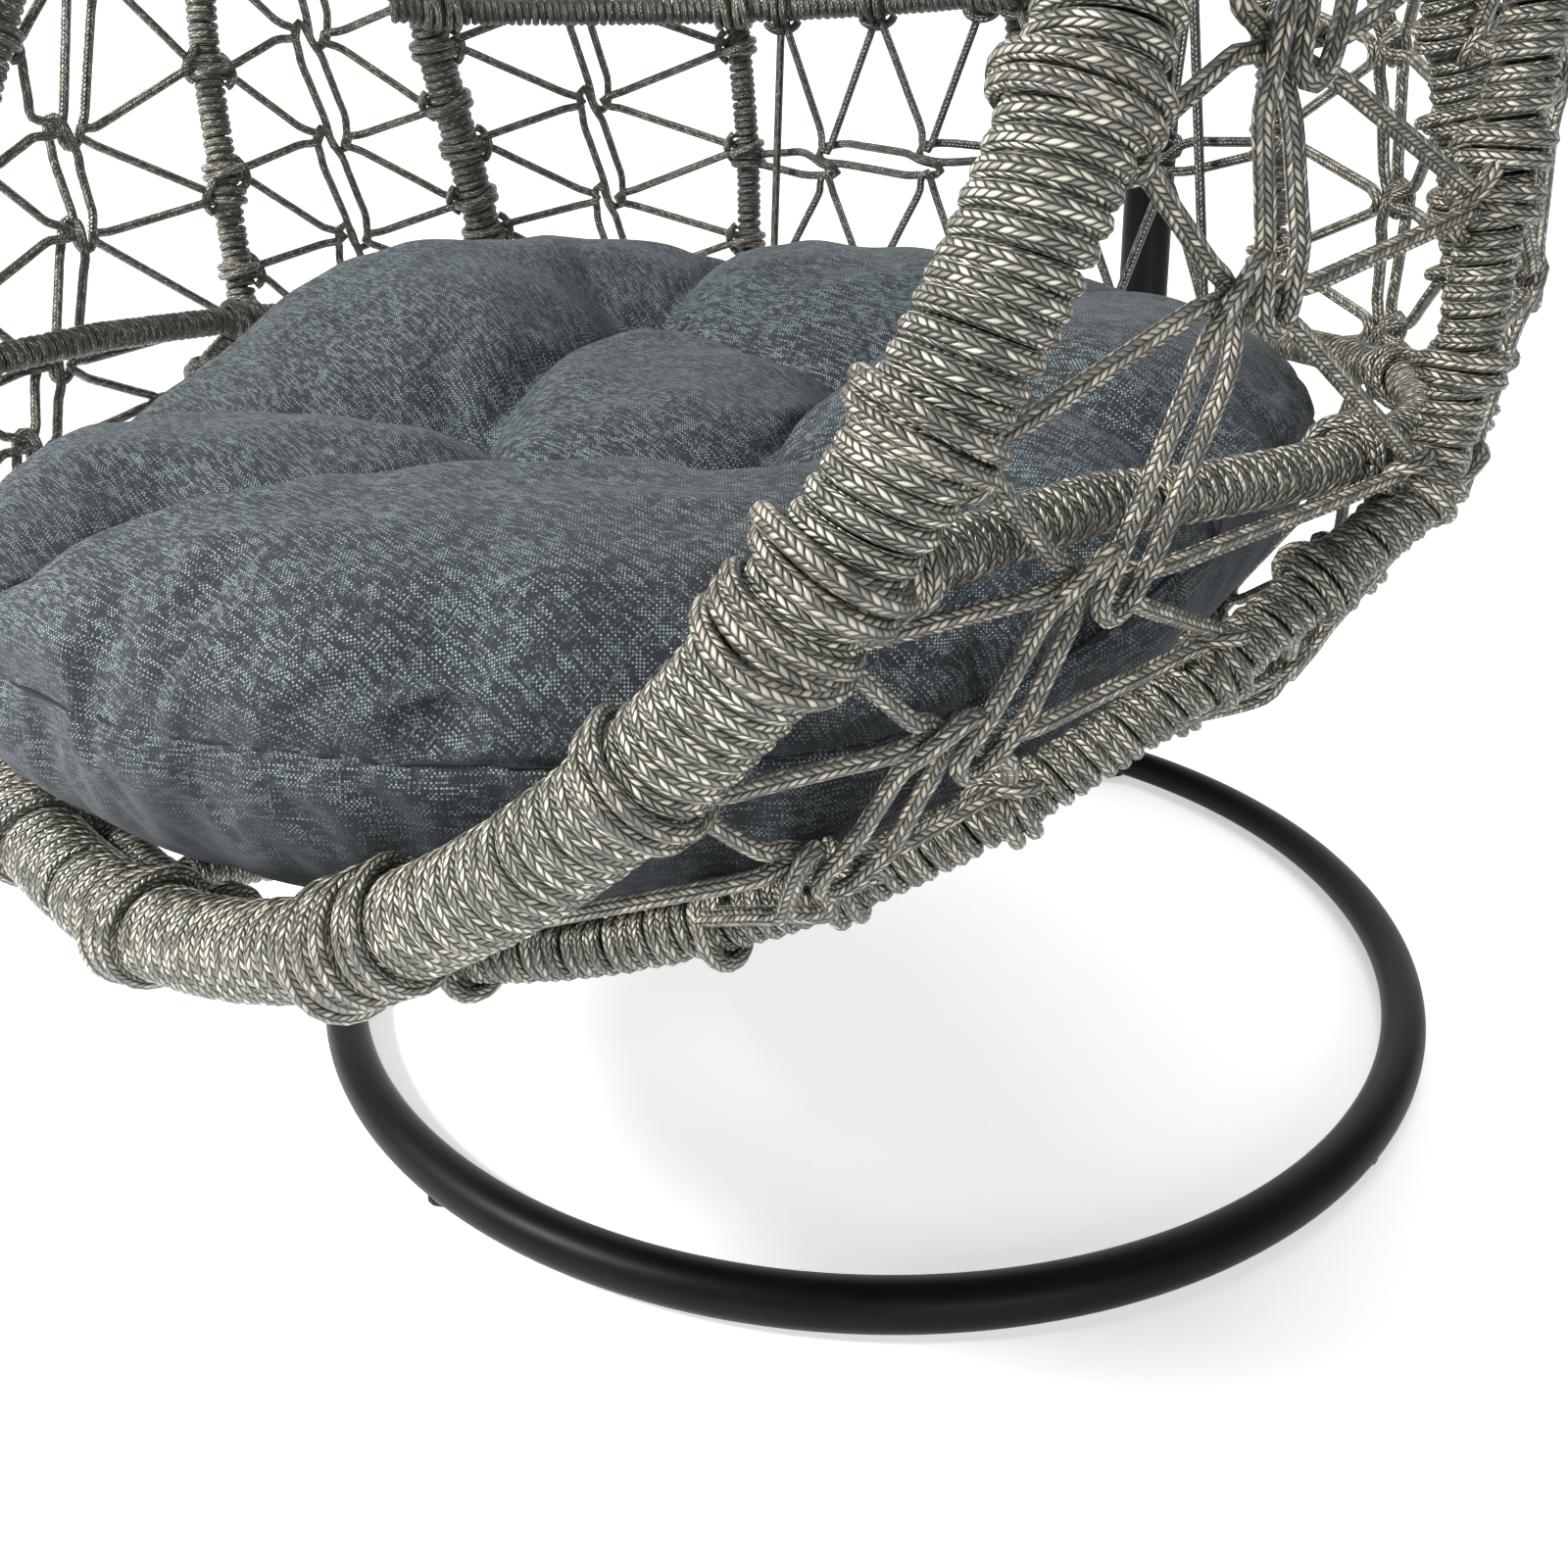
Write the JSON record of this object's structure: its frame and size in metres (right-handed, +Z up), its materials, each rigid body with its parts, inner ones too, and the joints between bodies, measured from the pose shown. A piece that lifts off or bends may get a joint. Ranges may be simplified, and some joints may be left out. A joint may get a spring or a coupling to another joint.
{
  "type": "hanging egg chair",
  "caption": "Egg-shaped rope-wrapped basket seat with knotted rope nets and a thick cushion, hung by a swivel and spring from a curved arm on a round floor ring.",
  "frame": {"origin": "on the floor, under the middle of the object's bounding box", "axes": "+Z up, +Y from the chair's open front to the post behind it, +X to the right when the chair is seen from its front"},
  "size_m": [1.0919, 1.1332, 1.9602],
  "materials": {
    "black_steel": "satin",
    "bright_steel": "satin",
    "rope_wrap": "satin",
    "rope_net": "satin",
    "cushion_cloth": "matte",
    "glide_rubber": "matte",
    "black_plastic": "matte"
  },
  "bodies": {
    "stand": {"arm_end_cap": "black_plastic", "base_ring": "black_steel", "glide_front": "glide_rubber", "glide_left": "glide_rubber", "glide_rear": "glide_rubber", "glide_right": "glide_rubber", "hanger_eye": "black_steel", "joint_bolt_lower": "bright_steel", "joint_bolt_upper": "bright_steel", "joint_nut_lower": "bright_steel", "joint_nut_upper": "bright_steel", "post_lower": "black_steel", "post_socket": "black_steel", "post_spigot": "black_steel", "post_upper": "black_steel"},
    "top_carabiner": {"upper_carabiner": "bright_steel"},
    "top_gate": {"upper_carabiner_gate": "bright_steel"},
    "swivel_top": {"swivel_upper": "bright_steel"},
    "swivel_bottom": {"swivel_lower": "bright_steel", "tension_spring": "bright_steel"},
    "basket": {"back_rib_left_tube": "black_steel", "back_rib_left_wrap": "rope_wrap", "back_rib_middle_tube": "black_steel", "back_rib_middle_wrap": "rope_wrap", "back_rib_right_tube": "black_steel", "back_rib_right_wrap": "rope_wrap", "bottom_hub": "black_steel", "crown_hub": "black_steel", "front_rim_tube": "black_steel", "front_rim_wrap": "rope_wrap", "keel_bar_tube": "black_steel", "keel_bar_wrap": "rope_wrap", "lower_carabiner": "bright_steel", "net_back_left": "rope_net", "net_back_right": "rope_net", "net_front_left_lower": "rope_net", "net_front_left_upper": "rope_net", "net_front_right_lower": "rope_net", "net_front_right_upper": "rope_net", "net_rear_left_lower": "rope_net", "net_rear_left_upper": "rope_net", "net_rear_right_lower": "rope_net", "net_rear_right_upper": "rope_net", "net_side_left_lower": "rope_net", "net_side_left_upper": "rope_net", "net_side_right_lower": "rope_net", "net_side_right_upper": "rope_net", "rear_hoop_left_tube": "black_steel", "rear_hoop_left_wrap": "rope_wrap", "rear_hoop_right_tube": "black_steel", "rear_hoop_right_wrap": "rope_wrap", "seat_cushion": "cushion_cloth", "seat_ring_tube": "black_steel", "seat_ring_wrap": "rope_wrap", "side_hoop_tube": "black_steel", "side_hoop_wrap": "rope_wrap", "upper_ring_tube": "black_steel", "upper_ring_wrap": "rope_wrap"},
    "bottom_gate": {"lower_carabiner_gate": "bright_steel"}
  },
  "joints": [
    {"name": "swing_side", "type": "hinge", "parent": "stand", "child": "top_carabiner", "pos_m": [0, -0.1502, 1.8785], "axis": [0, 1, 0], "range_deg": [-8, 8]},
    {"name": "swing_front_back", "type": "hinge", "parent": "top_carabiner", "child": "swivel_top", "pos_m": [0, -0.1502, 1.8116], "axis": [1, 0, 0], "range_deg": [-12, 5]},
    {"name": "seat_swivel", "type": "hinge", "parent": "swivel_top", "child": "swivel_bottom", "pos_m": [0, -0.1502, 1.786], "axis": [0, 0, 1], "continuous": true},
    {"name": "spring_stretch", "type": "slide", "parent": "swivel_bottom", "child": "basket", "axis": [0, 0, -1], "range_m": [0, 0.04], "stiffness_N_per_m": 20000, "springref_m": -0.0165, "deforming": ["tension_spring"]},
    {"name": "top_gate_opens", "type": "hinge", "parent": "top_carabiner", "child": "top_gate", "pos_m": [0.018, -0.1502, 1.8356], "axis": [0, -1, 0], "range_deg": [0, 25], "stiffness_Nm_per_rad": 0.05, "springref_deg": -34.38},
    {"name": "bottom_gate_opens", "type": "hinge", "parent": "basket", "child": "bottom_gate", "pos_m": [0, -0.1322, 1.5677], "axis": [1, 0, 0], "range_deg": [0, 25], "stiffness_Nm_per_rad": 0.05, "springref_deg": -34.38}
  ]
}
